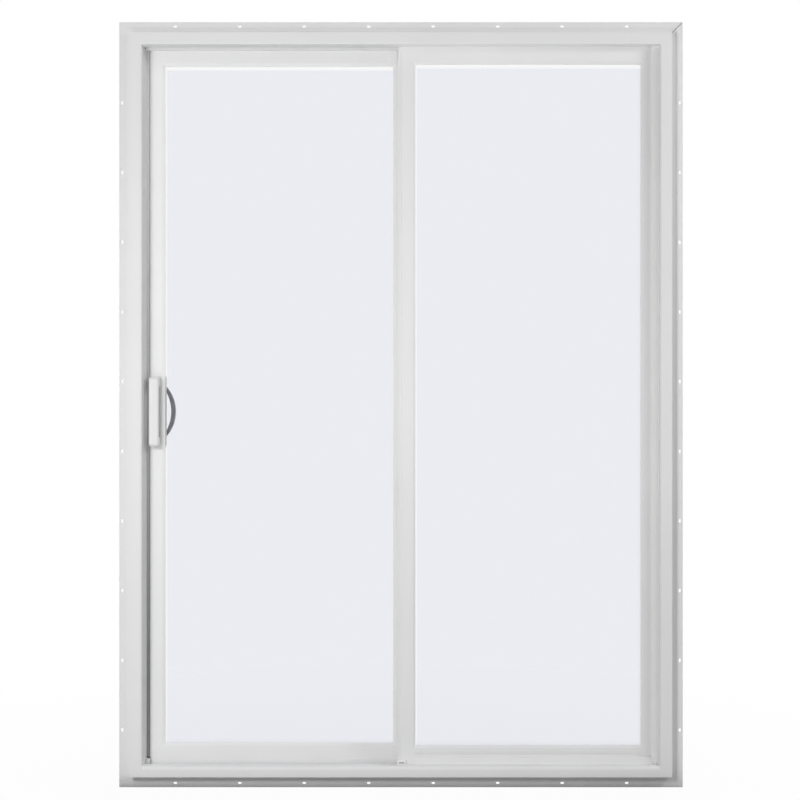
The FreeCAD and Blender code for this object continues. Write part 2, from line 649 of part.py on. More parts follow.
def build_track():
    """The roller track stands on the sill's floor under the middle of the sliding panel."""
    foot_top = f"{SILL_FLOOR} + track_foot"
    foot_left, foot_right = span(SLIDER_MIDDLE, "track_base")
    rail_left, rail_right = span(SLIDER_MIDDLE, "track_width")
    track = bar_along_x("track", f"-{WALL}", WALL, [
        (foot_left, SILL_FLOOR), (foot_right, SILL_FLOOR), (foot_right, foot_top), (rail_right, foot_top),
        (rail_right, TRACK_TOP), (rail_left, TRACK_TOP), (rail_left, foot_top), (foot_left, foot_top)])
    ease_edges(track, "track_round", lambda at, way: near(at.z, TRACK_TOP) and runs_along(way, "x"))
    node(track, "roller_track")


def build_carriage(name, left):
    """A sheet-steel carriage with two grooved wheels that straddle the track."""
    width = "(roller_groove - 2 * seat_gap)"
    top = f"({GROOVE_TOP} - seat_gap)"
    low = f"({top} - carriage_height)"
    length = (left, f"({left} + carriage_length)")
    shell = box("carriage_shell", length, span(SLIDER_MIDDLE, width), (low, top))
    hollow = box("carriage_hollow", length, span(SLIDER_MIDDLE, f"({width} - 2 * carriage_wall)"),
                 (low, f"({top} - carriage_wall)"))
    channel = cut("carriage_channel", shell, hollow)
    axles, wheels = [], []
    for x in span(f"({left} + carriage_length / 2)", "wheel_base"):
        start = f"{SLIDER_MIDDLE} - {width} / 2"
        axles.append(cylinder_along_y("axle", "axle_radius", width, x, start, WHEEL_AXIS))
        wheels.append(build_wheel(x))
    node(fuse("carriage", channel, *axles), f"{name}_roller_carriage")
    node(group("wheels", wheels), f"{name}_roller_wheels")


def build_wheel(x):
    """A wheel with a V-shaped tread and a bore for the axle."""
    start = f"({SLIDER_MIDDLE} - wheel_width / 2)"
    half = "wheel_width / 2"
    first = cone_along_y("rim", "wheel_radius", "tread_radius", half, x, start, WHEEL_AXIS)
    last = cone_along_y("rim", "tread_radius", "wheel_radius", half, x, SLIDER_MIDDLE, WHEEL_AXIS)
    bore = cylinder_along_y("bore", "axle_radius + seat_gap", "wheel_width", x, start, WHEEL_AXIS)
    return cut("wheel", fuse("wheel_blank", first, last), bore)


def build_lock():
    """Face plate in the lock stile and keeper on the jamb, level with the handle."""
    plate = box("face_plate", (SLIDER_LEFT, f"({SLIDER_LEFT} + faceplate_thick)"),
                span(SLIDER_MIDDLE, "faceplate_width"), span(HANDLE_HEIGHT, "faceplate_height"))
    node(plate, "lock_faceplate")
    thickness = (f"-{WALL}", f"(keeper_thick - {WALL})")
    keeper = box("keeper_plate", thickness, span(SLIDER_MIDDLE, "keeper_width"),
                 span(HANDLE_HEIGHT, "keeper_height"))
    slot = box("keeper_slot_block", thickness, span(SLIDER_MIDDLE, "keeper_slot_width"),
               span(HANDLE_HEIGHT, "keeper_slot"))
    node(cut("keeper", keeper, slot), "lock_keeper")


def build_outdoor_handle():
    """A moulded D-grip on a slim plate."""
    left = f"({SLIDER_LEFT} + handle_inset)"
    right = f"({left} + handle_width)"
    plate_front = f"({SLIDER_FRONT} - handle_plate)"
    low, high = span(HANDLE_HEIGHT, "handle_height")
    plate = body("outdoor_plate")
    face = rectangle(left, f"{right} + handle_plate_rim",
                     f"{low} - handle_plate_rim", f"{high} + handle_plate_rim")
    pad(plate, outline(plate, "XZ_Plane", f"-{SLIDER_FRONT}", face), "handle_plate")
    ease_edges(plate, "grip_edge", lambda at, way: runs_along(way, "y"))
    node(plate, "outdoor_handle_plate")
    reach = f"({SLIDER_FRONT} - handle_reach)"
    grip_back = f"({reach} + grip_thick)"
    loop_low, loop_high = f"({low} + grip_post)", f"({high} - grip_post)"
    grip = bar_along_x("grip", left, right, [
        (plate_front, low), (plate_front, loop_low), (grip_back, loop_low), (grip_back, loop_high),
        (plate_front, loop_high), (plate_front, high), (reach, high), (reach, low)])
    ease_edges(grip, "grip_round", lambda at, way: runs_along(way, "x") and near(at.y, reach))
    ease_edges(grip, "grip_inner_round", lambda at, way: runs_along(way, "x") and near(at.y, grip_back))

    def in_loop(at):
        inside = value(loop_low) - TOUCH < at.z < value(loop_high) + TOUCH
        return inside and not near(at.y, reach)

    def on_side(at, way):
        return abs(way.x) < TOUCH and at.y < value(plate_front) - TOUCH

    ease_edges(grip, "grip_edge", lambda at, way: on_side(at, way) and not in_loop(at))
    ease_edges(grip, "grip_inner_edge", lambda at, way: on_side(at, way) and in_loop(at)
               and at.y > value(grip_back) - TOUCH, bevelled=True)
    node(grip, "outdoor_grip")


def build_room_handle():
    """A plate with a bowed pull and a thumb latch on the room side."""
    light_left = f"({SLIDER_LEFT} + lock_stile)"
    right = f"({light_left} - room_plate_inset)"
    left = f"({right} - room_plate_width)"
    plate = body("room_plate")
    face = rectangle(left, right, *span(HANDLE_HEIGHT, "room_plate_height"))
    pad(plate, outline(plate, "XZ_Plane", f"-{SLIDER_BACK}", face), "room_plate_thick", towards_normal=False)
    ease_edges(plate, "room_plate_round", lambda at, way: runs_along(way, "y"))
    node(plate, "room_handle_plate")

    plate_back = f"({SLIDER_BACK} + room_plate_thick)"
    bow_front = f"({plate_back} + pull_stand_off)"
    outer_radius = "((pull_half ^ 2 + pull_bow ^ 2) / (2 * pull_bow))"
    inner_bow = "(pull_bow - pull_middle + pull_tip)"
    inner_radius = f"((pull_half ^ 2 + {inner_bow} ^ 2) / (2 * {inner_bow}))"
    outer_edge = f"({light_left} + pull_reach)"
    inner_edge = f"({outer_edge} - pull_middle)"
    outer_disc = cylinder_along_y("pull_disc", outer_radius, "pull_thick",
                                  f"{outer_edge} - {outer_radius}", bow_front, HANDLE_HEIGHT)
    inner_disc = cylinder_along_y("pull_hollow", inner_radius, "pull_thick",
                                  f"{inner_edge} - {inner_radius}", bow_front, HANDLE_HEIGHT)
    pull_left = f"({outer_edge} - pull_bow - pull_middle)"
    ends = box("pull_length", (pull_left, outer_edge), (bow_front, f"({bow_front} + pull_thick)"),
               span(HANDLE_HEIGHT, "(2 * pull_half)"))
    bow = doc.addObject("Part::Common", "pull_bow_bar")
    bow.Base = cut("pull_crescent", outer_disc, inner_disc)
    bow.Tool = ends
    half_post = "(pull_half - pull_post_inset)"
    post_bow = f"({outer_radius} - sqrt({outer_radius} ^ 2 - {half_post} ^ 2))"
    post_x = f"({outer_edge} - {post_bow} - pull_tip / 2 - pull_post_shift)"
    posts = []
    for z in span(HANDLE_HEIGHT, f"(2 * {half_post})"):
        length = "pull_stand_off + pull_thick / 2"
        posts.append(cylinder_along_y("pull_post", "pull_post_radius", length, post_x, plate_back, z))
    node(fuse("pull", bow, *posts), "room_pull")

    middle = f"(({left} + {right}) / 2)"
    hub = cylinder_along_y("latch_hub", "latch_radius", "latch_thick", middle, plate_back, HANDLE_HEIGHT)
    lever = box("latch_lever", span(middle, "latch_width"), (plate_back, f"({plate_back} + latch_rise)"),
                (HANDLE_HEIGHT, f"({HANDLE_HEIGHT} + latch_length)"))
    node(fuse("latch", hub, lever), "thumb_latch")


def build_cover(slider):
    """An oblong cover over the roller adjuster, low on the sliding panel."""
    cover = body("cover")
    right = f"({slider.right} - cover_inset)"
    low = f"({slider.low} + cover_rise)"
    face = rectangle(f"{right} - cover_length", right, low, f"{low} + cover_height")
    pad(cover, outline(cover, "XZ_Plane", f"-{slider.front}", face), "cover_thick")
    ease_edges(cover, "cover_height / 2 - round_rest", lambda at, way: runs_along(way, "y"))
    node(cover, "roller_adjuster_cover")


def build_stop(fixed):
    """A strip that stops the fixed panel, along the sill and up the fixed jamb."""
    front = f"({LEG_BACK} - stop_thick)"
    edge = f"({WALL} - seat_gap)"
    right = f"({WALL} - stop_line)"
    left = f"({right} - stop_width)"
    line = f"({front} + stop_line_depth)"
    top = f"({NOSE_TOP} + stop_height)"
    level = bar_along_x("level_strip", fixed.light_left, right, rectangle(front, LEG_BACK, NOSE_TOP, top))
    ease_edges(level, "stop_round", lambda at, way: near(at.y, front) and near(at.z, top))
    upright = bar_along_z("upright_strip", NOSE_TOP, f"({SOFFIT} - seat_gap)", [
        (left, front), (right, front), (right, line), (edge, line), (edge, LEG_BACK), (left, LEG_BACK)])
    ease_edges(upright, "stop_round", lambda at, way: near(at.y, front) and near(at.x, left))
    node(fuse("strip", level, upright), "fixed_panel_stop")


def build_plug():
    """The end plug of the sill's rib, in the corner with the lock jamb."""
    edge = f"(plug_width - {WALL})"
    top = f"({RIB_TOP} + plug_height)"
    plug = bar_along_z("plug", RIB_TOP, top, rectangle(f"-{WALL}", edge, RIB_FRONT, RIB_BACK))
    ease_edges(plug, "plug_round", lambda at, way: near(at.z, top) and near(at.x, edge))
    node(plug, "sill_rib_plug")


build_head()
build_sill()
build_jambs()
build_fins()
fixed_panel = build_fixed_panel()
slider_panel = build_slider()
build_interlocks()
build_track()
build_carriage("lock_side", f"({SLIDER_LEFT} + carriage_inset)")
build_carriage("meeting_side", f"({SLIDER_RIGHT} - carriage_inset - carriage_length)")
build_lock()
build_outdoor_handle()
build_room_handle()
build_cover(slider_panel)
build_stop(fixed_panel)
build_plug()
doc.recompute()

# Nothing is written unless every object came out whole.
for item in doc.Objects:
    if "Invalid" in item.State or "Error" in item.State:
        raise RuntimeError(f"{item.Name} failed: {item.State}")
for piece in NODES:
    if piece.Shape.isNull() or not piece.Shape.isValid():
        raise RuntimeError(f"{piece.Label} has no valid shape")

os.makedirs("parts", exist_ok=True)
for piece in NODES:
    piece.Shape.exportStep(f"parts/{piece.Label}.step")
    print(f"{piece.Label}: {len(piece.Shape.Solids)} solid(s), {piece.Shape.Volume / 1000:.1f} cm3")
print(f"{len(NODES)} pieces")
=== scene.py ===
# %% [markdown]
# # A white vinyl sliding patio door
# The door is a frame with a nail fin, a fixed panel on the right and a sliding panel on the left, seen
# from outdoors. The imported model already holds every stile, rail, pane and roller at its real size, so
# this script only dresses it: finishes first, then the small things that are too thin or too soft for the
# solid model, then light and camera.

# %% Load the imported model
import json
import math
import random

import bmesh
import bpy
from mathutils import Matrix, Vector


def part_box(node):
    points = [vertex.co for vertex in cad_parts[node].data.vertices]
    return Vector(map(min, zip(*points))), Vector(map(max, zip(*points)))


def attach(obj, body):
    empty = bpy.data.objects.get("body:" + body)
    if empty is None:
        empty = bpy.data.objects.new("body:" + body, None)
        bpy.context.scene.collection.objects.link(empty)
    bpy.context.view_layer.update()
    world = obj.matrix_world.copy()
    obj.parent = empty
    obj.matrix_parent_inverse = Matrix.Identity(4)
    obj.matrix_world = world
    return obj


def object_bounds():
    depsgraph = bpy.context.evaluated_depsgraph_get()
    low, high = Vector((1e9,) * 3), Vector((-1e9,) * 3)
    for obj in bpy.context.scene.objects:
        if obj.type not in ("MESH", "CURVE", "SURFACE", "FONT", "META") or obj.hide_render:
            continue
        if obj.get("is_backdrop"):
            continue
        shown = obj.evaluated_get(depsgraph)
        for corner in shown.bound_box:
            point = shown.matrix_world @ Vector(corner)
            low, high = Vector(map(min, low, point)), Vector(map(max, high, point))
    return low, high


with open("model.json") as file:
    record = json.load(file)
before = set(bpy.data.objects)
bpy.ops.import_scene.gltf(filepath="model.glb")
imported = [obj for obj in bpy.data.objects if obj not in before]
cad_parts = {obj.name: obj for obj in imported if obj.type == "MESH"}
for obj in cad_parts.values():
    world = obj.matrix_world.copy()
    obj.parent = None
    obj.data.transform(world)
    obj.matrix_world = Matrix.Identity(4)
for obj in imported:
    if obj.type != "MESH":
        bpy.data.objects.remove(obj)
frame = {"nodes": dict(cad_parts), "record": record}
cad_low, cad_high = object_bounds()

MM = 0.001
print(len(frame["nodes"]), "nodes, height", round(cad_high.z - cad_low.z, 3), "m")

# %% [markdown]
# ## Helpers for finishes
# Colours are written as sRGB hex values, the way a paint chart gives them, and Blender's shaders want
# linear light. One function turns one into the other, and one adds a shader node with its settings,
# values and links in a single call, so that each finish reads as a short list of nodes.

# %% Colour and node helpers


def linear(hex_colour):
    """sRGB hex to a linear colour with full alpha, by the standard sRGB curve."""
    parts = [int(hex_colour[i:i + 2], 16) / 255 for i in (1, 3, 5)]
    return [p / 12.92 if p <= 0.04045 else ((p + 0.055) / 1.055) ** 2.4 for p in parts] + [1.0]


def add_node(tree, kind, links=None, values=None, **settings):
    """Adds a node; links maps an input to an output socket, values maps an input to a number or colour."""
    node = tree.nodes.new(kind)
    for key, setting in settings.items():
        setattr(node, key, setting)
    for key, value in (values or {}).items():
        node.inputs[key].default_value = value
    for key, socket in (links or {}).items():
        tree.links.new(socket, node.inputs[key])
    return node


def new_material(name, **sockets):
    """A material with a bare Principled shader; sockets are set on the shader itself."""
    material = bpy.data.materials.new(name)
    material.use_nodes = True
    shader = material.node_tree.nodes["Principled BSDF"]
    for key, number in sockets.items():
        shader.inputs[key.replace("_", " ")].default_value = number
    return material, material.node_tree, shader


def corners(node):
    """The lowest and highest corner of a CAD node, in millimetres."""
    low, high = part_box(node)
    return low / MM, high / MM


print("white vinyl in linear light:", [round(c, 3) for c in linear("#EFEFEF")[:3]])

# %% [markdown]
# ## Extruded white vinyl
# Frame and panels are rigid PVC pushed through a die, so the surface has faint lines along the length of
# each bar and a soft satin shine. A wave texture could draw such lines, but it spaces them evenly. A
# noise that is stretched along the bar gives uneven ones, and a broad noise shifts the white a little, as
# real mouldings do. Upright and level bars need the stretch along different axes, and the sliding sash,
# which lies deep in the frame and in its shade, gets a whiter copy of the same vinyl as painted light that
# makes up for that shade, so there are four.

# %% Vinyl materials
# Real die lines lie closer together than the render can show, so they are drawn 4 mm apart.
DIE_LINE, DIE_LINE_DEPTH, DIE_LINE_STRENGTH = 4 * MM, 0.1 * MM, 0.06
STRETCH = 0.01
CLOUD = 300 * MM
SATIN = (0.32, 0.46)
# The sash whites are a lighter copy of the frame's vinyl: painted light for the shade deep in the frame.
FRAME_WHITES, SASH_LIGHTENED_WHITES = ("#EAEAEA", "#F1F1F1"), ("#EFEFEF", "#F4F4F4")
LEVEL_AXIS, UPRIGHT_AXIS = 0, 2


def extruded_vinyl(name, along, hex_low, hex_high):
    """Satin PVC with die lines along one axis: soft, even white with a faint grain of light."""
    material, tree, shader = new_material(name, IOR=1.53)
    place = add_node(tree, "ShaderNodeTexCoord").outputs["Object"]
    stretch = [1.0, 1.0, 1.0]
    stretch[along] = STRETCH
    bar = add_node(tree, "ShaderNodeMapping", {"Vector": place}, {"Scale": stretch})
    lines = add_node(tree, "ShaderNodeTexNoise", {"Vector": bar.outputs[0]},
                     {"Scale": 1 / DIE_LINE, "Detail": 3.0, "Roughness": 0.6})
    cloud = add_node(tree, "ShaderNodeTexNoise", {"Vector": place}, {"Scale": 1 / CLOUD, "Detail": 2.0})
    tint = add_node(tree, "ShaderNodeMix", {"Factor": cloud.outputs["Fac"]},
                    {"A": linear(hex_low), "B": linear(hex_high)}, data_type="RGBA")
    tree.links.new(tint.outputs["Result"], shader.inputs["Base Color"])
    shine = add_node(tree, "ShaderNodeMapRange", {"Value": lines.outputs["Fac"]},
                     {"To Min": SATIN[0], "To Max": SATIN[1]})
    tree.links.new(shine.outputs[0], shader.inputs["Roughness"])
    relief = add_node(tree, "ShaderNodeBump", {"Height": lines.outputs["Fac"]},
                      {"Strength": DIE_LINE_STRENGTH, "Distance": DIE_LINE_DEPTH})
    tree.links.new(relief.outputs[0], shader.inputs["Normal"])
    return material


vinyl_level = extruded_vinyl("extruded_white_vinyl_level", LEVEL_AXIS, *FRAME_WHITES)
vinyl_upright = extruded_vinyl("extruded_white_vinyl_upright", UPRIGHT_AXIS, *FRAME_WHITES)
sash_lightened_level = extruded_vinyl("extruded_sash_vinyl_painted_light_level", LEVEL_AXIS, *SASH_LIGHTENED_WHITES)
sash_lightened_upright = extruded_vinyl("extruded_sash_vinyl_painted_light_upright", UPRIGHT_AXIS, *SASH_LIGHTENED_WHITES)
print("vinyl:", vinyl_level.name, vinyl_upright.name, sash_lightened_level.name, sash_lightened_upright.name)

# %% [markdown]
# ## Coated float glass
# The panes are clear float glass with a low-emissivity coat, which takes a little of the light and leaves
# a pale blue-grey. A near-clear band along the top and the left of each pane is a painted highlight: the
# tint is left off there so that these edges read as a bright line. One tint all over would be simpler and
# would lose that line, so the tint follows the place on the pane, and each panel gets its own material
# from its opening. Lamps shine through a thin pane almost freely, so rays that only ask for shadow pass
# through a Transparent shader of the same tint.

# %% Glass materials
# The near-white tint is the painted highlight along the top and the left edge of each pane.
COATED, HIGHLIGHT_CLEAR = "#F4F5F8", "#FDFDFD"
HIGHLIGHT_TOP, HIGHLIGHT_SIDE = 8.0, 3.0
STILES = {"slider": ("slider_lock_stile", "slider_panel_meeting_stile"),
          "fixed": ("fixed_panel_meeting_stile", "fixed_panel_jamb_stile")}


def daylight(panel):
    """Left, right, bottom and top of the opening between stiles and rails, in millimetres."""
    left_stile, right_stile = STILES[panel]
    return (corners(left_stile)[1].x, corners(right_stile)[0].x,
            corners(f"{panel}_bottom_rail")[1].z, corners(f"{panel}_top_rail")[0].z)


def coated_glass(panel):
    """Clear glass tinted pale blue-grey, with a near-clear band at the top and the left as a painted
    highlight.
    """
    left, _, _, top = daylight(panel)
    material, tree, shader = new_material(f"coated_float_glass_{panel}", Roughness=0.0, IOR=1.5,
                                          Transmission_Weight=1.0)
    place = add_node(tree, "ShaderNodeTexCoord").outputs["Object"]
    axes = add_node(tree, "ShaderNodeSeparateXYZ", {"Vector": place})
    # The mask is nought in the painted highlight band at the left and the top, and one elsewhere.
    inside = add_node(tree, "ShaderNodeMath", {0: axes.outputs["X"]}, {1: (left + HIGHLIGHT_SIDE) * MM},
                      operation="GREATER_THAN")
    below = add_node(tree, "ShaderNodeMath", {0: axes.outputs["Z"]}, {1: (top - HIGHLIGHT_TOP) * MM},
                     operation="LESS_THAN")
    tint_outside_highlight = add_node(tree, "ShaderNodeMath", {0: inside.outputs[0], 1: below.outputs[0]},
                    operation="MULTIPLY")
    tint = add_node(tree, "ShaderNodeMix", {"Factor": tint_outside_highlight.outputs[0]},
                    {"A": linear(HIGHLIGHT_CLEAR), "B": linear(COATED)}, data_type="RGBA")
    tree.links.new(tint.outputs["Result"], shader.inputs["Base Color"])
    path = add_node(tree, "ShaderNodeLightPath")
    through = add_node(tree, "ShaderNodeBsdfTransparent", {"Color": tint.outputs["Result"]})
    mix = add_node(tree, "ShaderNodeMixShader",
                   {0: path.outputs["Is Shadow Ray"], 1: shader.outputs[0], 2: through.outputs[0]})
    tree.links.new(mix.outputs[0], tree.nodes["Material Output"].inputs["Surface"])
    return material


glass = {panel: coated_glass(panel) for panel in STILES}
print("daylight openings:", {panel: [round(edge) for edge in daylight(panel)] for panel in STILES})

# %% [markdown]
# ## Metals and moulded plastics
# The track is anodised aluminium, drawn along its length, and the spacer between the panes is plain
# rolled aluminium. Carriages, keeper and face plate are zinc-plated steel with a cloudy crystal pattern.
# The outdoor handle is a casting with white enamel, the pull in the room is a dark satin casting, and the
# wheels are black nylon. Each could have a tree of nodes of its own, but they differ only in colour,
# grain and shine, so one function makes them all from one noise, at the grain size of each in
# millimetres.

# %% Metal and plastic materials
EVEN, ALONG_X = (1.0, 1.0, 1.0), (STRETCH, 1.0, 1.0)
SKIN_DEPTH = 0.1 * MM


def grained(name, hex_low, hex_high, grain, bump, roughness, stretch=EVEN, **sockets):
    """A finish whose colour, roughness and relief follow one noise of a given grain size."""
    material, tree, shader = new_material(name, **sockets)
    place = add_node(tree, "ShaderNodeTexCoord").outputs["Object"]
    bar = add_node(tree, "ShaderNodeMapping", {"Vector": place}, {"Scale": stretch})
    noise = add_node(tree, "ShaderNodeTexNoise", {"Vector": bar.outputs[0]},
                     {"Scale": 1 / (grain * MM), "Detail": 4.0})
    tint = add_node(tree, "ShaderNodeMix", {"Factor": noise.outputs["Fac"]},
                    {"A": linear(hex_low), "B": linear(hex_high)}, data_type="RGBA")
    tree.links.new(tint.outputs["Result"], shader.inputs["Base Color"])
    shine = add_node(tree, "ShaderNodeMapRange", {"Value": noise.outputs["Fac"]},
                     {"To Min": roughness[0], "To Max": roughness[1]})
    tree.links.new(shine.outputs[0], shader.inputs["Roughness"])
    relief = add_node(tree, "ShaderNodeBump", {"Height": noise.outputs["Fac"]},
                      {"Strength": bump, "Distance": SKIN_DEPTH})
    tree.links.new(relief.outputs[0], shader.inputs["Normal"])
    return material


# Long fine streaks of light along the rail.
anodised = grained("drawn_anodised_aluminium", "#B9BABC", "#D2D3D5", grain=2, bump=0.1,
                   roughness=(0.28, 0.4), stretch=ALONG_X, Metallic=1.0)
# A dull, even grey between the panes.
mill = grained("roll_formed_mill_aluminium", "#B4B5B7", "#CACBCD", grain=3, bump=0.08,
               roughness=(0.35, 0.5), Metallic=1.0)
# Soft clouds of lighter and darker crystal.
zinc = grained("zinc_plated_sheet_steel", "#9C9DA0", "#BDBEC0", grain=9, bump=0.05,
               roughness=(0.3, 0.45), Metallic=1.0)
# A bright white that is glossier than the vinyl beside it.
enamel = grained("white_enamelled_casting", "#E6E6E5", "#ECECEB", grain=5, bump=0.05,
                 roughness=(0.22, 0.3), IOR=1.5)
# A dark grey with a fine orange-peel skin.
graphite = grained("dark_satin_casting", "#414143", "#525255", grain=1.2, bump=0.12,
                   roughness=(0.34, 0.44), IOR=1.5)
# Nearly black and dull, with the grain of the mould.
nylon = grained("black_moulded_nylon", "#26262A", "#34343A", grain=1, bump=0.15,
                roughness=(0.45, 0.6), IOR=1.53)
print("six metals and plastics")

# %% [markdown]
# ## Dressing the solid pieces
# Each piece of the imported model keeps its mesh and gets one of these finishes. A list of 41 names would
# do, but the record already gives every piece a material slot, so the slot picks the finish. The die
# lines run along X on level bars and along Z on upright ones, so the piece's longer side picks the vinyl.

# %% Give every CAD node its finish
FINISH = {"spacer": mill, "track": anodised, "steel": zinc, "nylon": nylon, "handle": enamel,
          "pull": graphite}
slot_of = {row["node"]: row["material_slot"] for row in frame["record"]["subparts"]}


def on_slider(name):
    """True for the vinyl and the glass of the sliding panel."""
    return name.startswith("slider") or name == "roller_adjuster_cover"


for name, piece in frame["nodes"].items():
    low, high = corners(name)
    # The slider takes the lighter copies of the vinyl, painted light for the shade it lies in.
    level, upright = (sash_lightened_level, sash_lightened_upright) if on_slider(name) else (vinyl_level, vinyl_upright)
    vinyl = upright if high.z - low.z > high.x - low.x else level
    finish = FINISH.get(slot_of[name], vinyl)
    if slot_of[name] == "glass":
        finish = glass["slider" if on_slider(name) else "fixed"]
    piece.data.materials.clear()
    piece.data.materials.append(finish)
print(len(frame["nodes"]), "nodes dressed")

# %% [markdown]
# ## Helpers for small pieces
# Small pieces are made as solids with bmesh operators, in millimetres and in the place where they belong,
# and each rides on the body that carries it on the real door: the frame, or the slider. Objects from the
# Add menu would have to be moved into place afterwards, and a pattern on Object coordinates would move
# with them.

# %% Piece helpers
X, Y, Z = (1, 0, 0), (0, 1, 0), (0, 0, 1)


def add_piece(name, shape, finishes, body):
    """Turns a bmesh in millimetres into an object that rides on a body."""
    bmesh.ops.scale(shape, vec=(MM, MM, MM), verts=shape.verts)
    bmesh.ops.recalc_face_normals(shape, faces=shape.faces)
    mesh = bpy.data.meshes.new(name)
    shape.to_mesh(mesh)
    shape.free()
    for finish in finishes:
        mesh.materials.append(finish)
    piece = bpy.data.objects.new(name, mesh)
    bpy.context.collection.objects.link(piece)
    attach(piece, body)
    return piece


def add_block(shape, low, high, rounding=0.0):
    """A block between two corners, with its edges rounded where a rounding is given."""
    low, high = Vector(low), Vector(high)
    place = Matrix.Translation((low + high) / 2) @ Matrix.Diagonal((*(high - low), 1.0))
    made = bmesh.ops.create_cube(shape, size=1.0, matrix=place)
    edges = {edge for vert in made["verts"] for edge in vert.link_edges}
    if rounding:
        bmesh.ops.bevel(shape, geom=list(edges), offset=rounding, segments=2, profile=0.5, affect="EDGES",
                        material=-1)


def sink(shape, face, rim, step):
    """Insets a face by a rim, pushes it in by a step and gives back the sunken face."""
    bmesh.ops.inset_region(shape, faces=[face], thickness=rim, use_even_offset=True)
    pushed = bmesh.ops.extrude_face_region(shape, geom=[face])["geom"]
    sunken = next(item for item in pushed if isinstance(item, bmesh.types.BMFace))
    bmesh.ops.delete(shape, geom=[face], context="FACES_ONLY")
    bmesh.ops.translate(shape, vec=step, verts=sunken.verts)
    return sunken


print("helpers for solid pieces ready")

# %% [markdown]
# ## Ribs of the nail fins
# A nail fin is a thin strip, so the die gives it two low ribs: one near the free edge, which stiffens it,
# and one inside the row of slots, which marks how deep the trim may cover it. Bump could draw them, but
# only a real edge catches light from every side, so they are long thin blocks with rounded edges that
# stop short of the mitres.

# %% Fin ribs
LEVEL_FINS = ("sill_nail_fin", "head_nail_fin")
UPRIGHT_FINS = ("lock_side_nail_fin", "fixed_side_nail_fin")
RIB_PLACES = (3.4, 17.0)
RIB_WIDTH, RIB_RISE, RIB_END, RIB_ROUND = 1.3, 0.7, 1.5, 0.3
(left, _, bottom), (right, _, top) = cad_low / MM, cad_high / MM
fin_face = corners("head_nail_fin")[0].y
for name in LEVEL_FINS + UPRIGHT_FINS:
    shape = bmesh.new()
    for inset in RIB_PLACES:
        near, far = inset - RIB_WIDTH / 2, inset + RIB_WIDTH / 2
        end = far + RIB_END
        x_span = {"lock_side_nail_fin": (left + near, left + far),
                  "fixed_side_nail_fin": (right - far, right - near)}
        z_span = {"sill_nail_fin": (bottom + near, bottom + far),
                  "head_nail_fin": (top - far, top - near)}
        x_low, x_high = x_span.get(name, (left + end, right - end))
        z_low, z_high = z_span.get(name, (bottom + end, top - end))
        add_block(shape, (x_low, fin_face - RIB_RISE, z_low), (x_high, fin_face, z_high), RIB_ROUND)
    finish = vinyl_level if name in LEVEL_FINS else vinyl_upright
    add_piece(f"{name}_ribs", shape, [finish], "frame")
print("two ribs on each of four fins")

# %% [markdown]
# ## Grey bead in the mitre
# At the upper right a grey bead lies across the mitre of the fins; its grey, darker than the fins, is
# painted shade for the short dark line across the corner. A painted line would do from the front, but the
# bead stands proud, so it is a thin cylinder along the mitre, half sunk in the fins.

# %% Grey bead in the mitre
BEAD_RADIUS, BEAD_INSET = 1.5, 3.0
# Painted shade for the corner line: a flat mid grey with the soft waves of a tool drawn over it.
corner_shade_grey = grained("grey_corner_shade_bead", "#B0B0B0", "#BCBCBC", grain=4, bump=0.3,
                  roughness=(0.5, 0.65), IOR=1.45)
outer = Vector((right - BEAD_INSET, fin_face, top - BEAD_INSET))
inner = Vector((corners("fixed_jamb")[1].x, fin_face, corners("head")[1].z))
inner += (outer - inner).normalized() * BEAD_INSET
lie = (outer - inner).to_track_quat("Z", "Y").to_matrix().to_4x4()
shape = bmesh.new()
bmesh.ops.create_cone(shape, cap_ends=True, segments=16, radius1=BEAD_RADIUS, radius2=BEAD_RADIUS,
                      depth=(outer - inner).length, matrix=Matrix.Translation((outer + inner) / 2) @ lie)
add_piece("fin_corner_shade_bead", shape, [corner_shade_grey], "frame")
print("bead of", round((outer - inner).length, 1), "mm across the upper right corner")

# %% [markdown]
# ## Weep hoods
# Rain that gets into the sill's channels runs out through weep slots, and a small hood keeps the wind
# from blowing it back. Each hood is a block on the sill's nose with rounded front edges. A boolean could
# cut its mouth, but an inset of the front face that is pushed in leaves cleaner faces. The sunken face in
# the mouth is grey, darker than the hood, as painted shade that deepens the mouth's shade.

# %% Weep hoods
HOOD_ROUND, HOOD_WALL, MOUTH_DEPTH = 3.0, 1.8, 3.0
EDGE_TOLERANCE = 0.1
MEETING_HOOD, CORNER_HOOD = {"width": 24.0, "height": 11.0}, {"width": 17.0, "height": 8.0}
MEETING_HOOD_INSET, MEETING_HOOD_REACH, STILE_CLEARANCE = 8.4, 10.0, 0.3
CORNER_HOOD_INSET, CORNER_HOOD_REACH = 4.0, 5.0
stile_corner = corners("fixed_panel_meeting_stile")[0]
stop_corner = corners("fixed_panel_stop")[0]
jamb_corner = corners("fixed_jamb")[0]
# The stop strip stands on the sill's nose.
nose_top = stop_corner.z
# Painted shade for the mouth: a dull mid grey, darker than the hood, that stays readable in its real shade.
mouth_shade_grey = grained("grey_painted_mouth_shade", "#A6A6A6", "#B2B2B2", grain=1, bump=0.1, roughness=(0.5, 0.6), IOR=1.5)
# A cooler, flatter white than the extruded bars.
moulded = grained("white_moulded_nylon", "#EDEDED", "#F6F6F6", grain=1, bump=0.1,
                  roughness=(0.35, 0.5), IOR=1.53)


